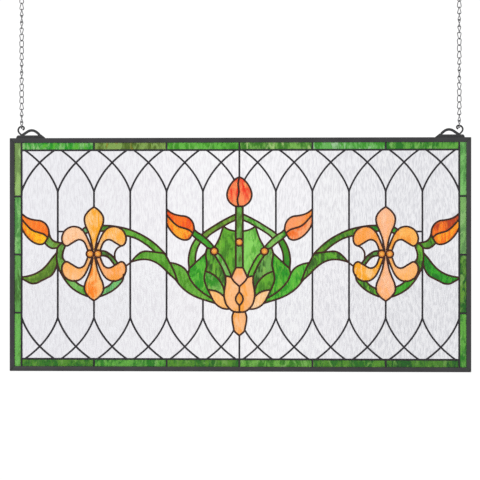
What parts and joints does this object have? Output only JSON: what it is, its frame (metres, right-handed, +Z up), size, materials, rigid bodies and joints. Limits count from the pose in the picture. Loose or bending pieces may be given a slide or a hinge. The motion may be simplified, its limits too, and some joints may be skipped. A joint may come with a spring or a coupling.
{
  "type": "stained glass window panel",
  "caption": "Wide leaded glass panel in a metal channel frame, with flowers, buds, leaves and a gothic lattice, hung by two chains.",
  "frame": {"origin": "halfway between the tops of the insides of the two hanging rings, which is what the panel hangs from", "axes": "+Z up, +X to the viewer's right along the panel, and the front faces -Y"},
  "size_m": [0.61, 0.0096, 0.5087],
  "materials": {
    "zinc_frame": "charcoal patina, satin",
    "solder": "dark patina over rounded solder beads",
    "steel_chain": "dull grey wire",
    "clear_glass": "rippled, clear",
    "border_glass": "streaky green, translucent",
    "leaf_glass": "streaky green, translucent",
    "peach_glass": "wispy peach, translucent",
    "amber_glass": "wispy amber, translucent",
    "orange_glass": "streaky orange and red, translucent",
    "jewel_glass": "smooth domed amber"
  },
  "bodies": {
    "root": {"border_glass_bottom": "border_glass", "border_glass_left": "border_glass", "border_glass_right": "border_glass", "border_glass_top": "border_glass", "bud_inner_left": "orange_glass", "bud_inner_right": "orange_glass", "bud_outer_left": "orange_glass", "bud_outer_right": "orange_glass", "centre_stem_lower": "leaf_glass", "centre_stem_upper": "leaf_glass", "chain_left": "steel_chain", "chain_right": "steel_chain", "clear_glass_bay_left": "clear_glass", "clear_glass_bay_right": "clear_glass", "clear_glass_flower_left": "clear_glass", "clear_glass_flower_right": "clear_glass", "clear_glass_lower": "clear_glass", "clear_glass_upper": "clear_glass", "frame_bottom": "zinc_frame", "frame_left": "zinc_frame", "frame_right": "zinc_frame", "frame_top": "zinc_frame", "hanger_left": "zinc_frame", "hanger_right": "zinc_frame", "hanging_ring_left": "steel_chain", "hanging_ring_right": "steel_chain", "jewel_fan_left": "jewel_glass", "jewel_fan_right": "jewel_glass", "jewel_flower_left_inner": "jewel_glass", "jewel_flower_left_outer": "jewel_glass", "jewel_flower_right_inner": "jewel_glass", "jewel_flower_right_outer": "jewel_glass", "jewel_stem": "jewel_glass", "leaf_fan_left": "leaf_glass", "leaf_fan_right": "leaf_glass", "lotus_heart": "amber_glass", "lotus_petal_left": "peach_glass", "lotus_petal_right": "peach_glass", "outer_stem_and_leaf_left": "leaf_glass", "outer_stem_and_leaf_right": "leaf_glass", "petal_bottom_left": "peach_glass", "petal_bottom_right": "peach_glass", "petal_lower_inner_left": "amber_glass", "petal_lower_inner_right": "amber_glass", "petal_lower_outer_left": "peach_glass", "petal_lower_outer_right": "peach_glass", "petal_top_left": "peach_glass", "petal_top_right": "peach_glass", "petal_upper_inner_left": "peach_glass", "petal_upper_inner_right": "peach_glass", "petal_upper_outer_left": "peach_glass", "petal_upper_outer_right": "peach_glass", "ring_leaf_inner_left": "leaf_glass", "ring_leaf_inner_right": "leaf_glass", "ring_leaf_outer_left": "leaf_glass", "ring_leaf_outer_right": "leaf_glass", "scroll_left": "leaf_glass", "scroll_right": "leaf_glass", "solder_web": "solder", "tulip": "orange_glass"}
  },
  "joints": []
}
